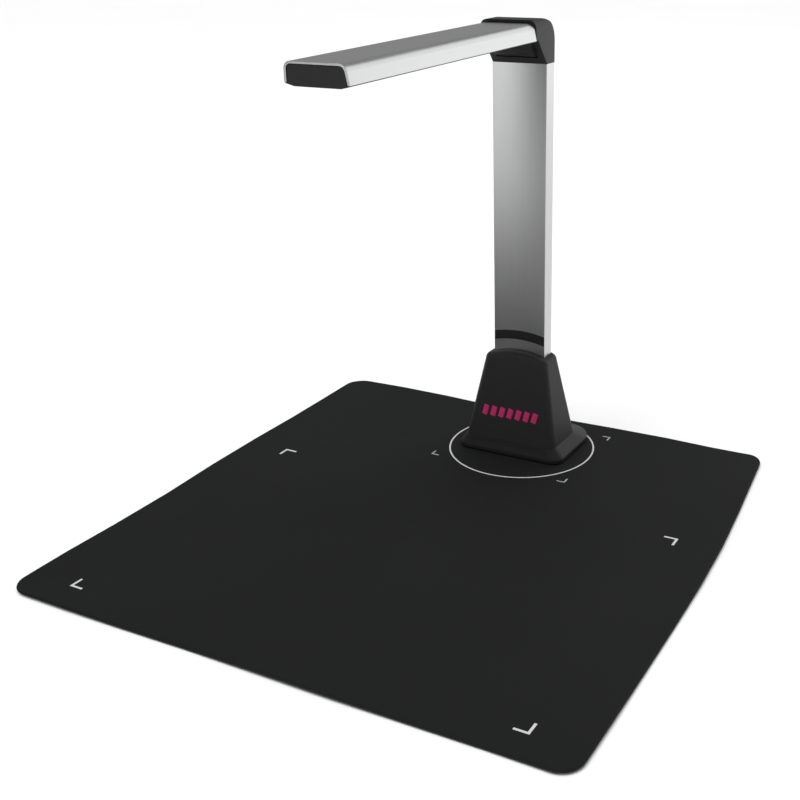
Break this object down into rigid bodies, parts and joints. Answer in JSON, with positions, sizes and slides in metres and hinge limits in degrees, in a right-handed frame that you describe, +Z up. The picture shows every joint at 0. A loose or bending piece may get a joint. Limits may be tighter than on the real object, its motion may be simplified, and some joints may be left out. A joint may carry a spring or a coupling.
{
  "type": "document camera",
  "caption": "Folding document camera: flat metal arm with a downward lens on an upright column and weighted base, standing on a printed desk mat.",
  "frame": {"origin": "middle of the mat's underside", "axes": "+Z up, +X to the right of a reader facing the stand, -Y towards the reader; the arm reaches along -Y"},
  "size_m": [0.39, 0.402, 0.325],
  "materials": {
    "mat_rubber": "black rubber-backed mat with printed white marks",
    "black_abs": "moulded black plastic, satin with a fine texture",
    "painted_steel": "black powder-coated steel",
    "pad_rubber": "soft dark rubber",
    "screw_steel": "zinc-plated steel",
    "cast_iron": "bare cast iron",
    "zinc_casting": "bare casting",
    "anodised_aluminium": "fine satin anodised silver",
    "dark_trim": "smooth dark inlay",
    "ribbon_film": "flat flexible cable",
    "circuit_board": "green circuit board",
    "socket_steel": "bright plated steel shell",
    "pin_steel": "ground steel pin",
    "washer_nylon": "black nylon",
    "lens_barrel_black": "threaded matt black barrel",
    "lens_glass": "coated lens",
    "window_glass": "flat smoked window",
    "led_yellow": "white LED packages with yellow phosphor",
    "switch_black": "small push switch",
    "frosted_acrylic": "milky light diffuser",
    "button_grey": "satin grey button cap"
  },
  "bodies": {
    "mat": {"scan_mat": "mat_rubber"},
    "stand": {"pedestal_shell": "black_abs", "foot_skirt": "black_abs", "base_floor_plate": "painted_steel", "base_rubber_pads": "pad_rubber", "base_screws": "screw_steel", "ballast_weight": "cast_iron", "column_socket": "zinc_casting", "socket_screws": "screw_steel", "column_foot_screws": "screw_steel", "column_profile": "anodised_aluminium", "column_trim_band": "dark_trim", "column_ribbon_cable": "ribbon_film", "usb_board": "circuit_board", "usb_board_screws": "screw_steel", "usb_socket": "socket_steel", "elbow_housing": "black_abs", "elbow_screws": "screw_steel", "hinge_pin": "pin_steel", "hinge_plug": "black_abs", "friction_washers": "washer_nylon"},
    "arm": {"arm_profile": "anodised_aluminium", "arm_knuckle": "black_abs", "knuckle_screws": "screw_steel", "arm_under_cover": "black_abs", "cover_screws": "screw_steel", "arm_end_cap": "black_abs", "camera_board": "circuit_board", "camera_board_screws": "screw_steel", "lens_holder": "black_abs", "lens_barrel": "lens_barrel_black", "front_lens": "lens_glass", "camera_window": "window_glass", "light_board": "circuit_board", "light_board_screws": "screw_steel", "leds": "led_yellow", "light_switch": "switch_black", "light_diffuser": "frosted_acrylic", "arm_ribbon_cable": "ribbon_film"},
    "button": {"light_button": "button_grey"}
  },
  "joints": [
    {"name": "stand_lift", "type": "slide", "parent": "mat", "child": "stand", "axis": [0, 0, 1], "range_m": [0, 0.05]},
    {"name": "arm_fold", "type": "hinge", "parent": "stand", "child": "arm", "pos_m": [0, 0.134, 0.309], "axis": [1, 0, 0], "range_deg": [0, 87]},
    {"name": "light_press", "type": "slide", "parent": "arm", "child": "button", "axis": [0, 0, 1], "range_m": [0, 0.0006], "stiffness_N_per_m": 1500, "springref_m": -0.0004}
  ]
}
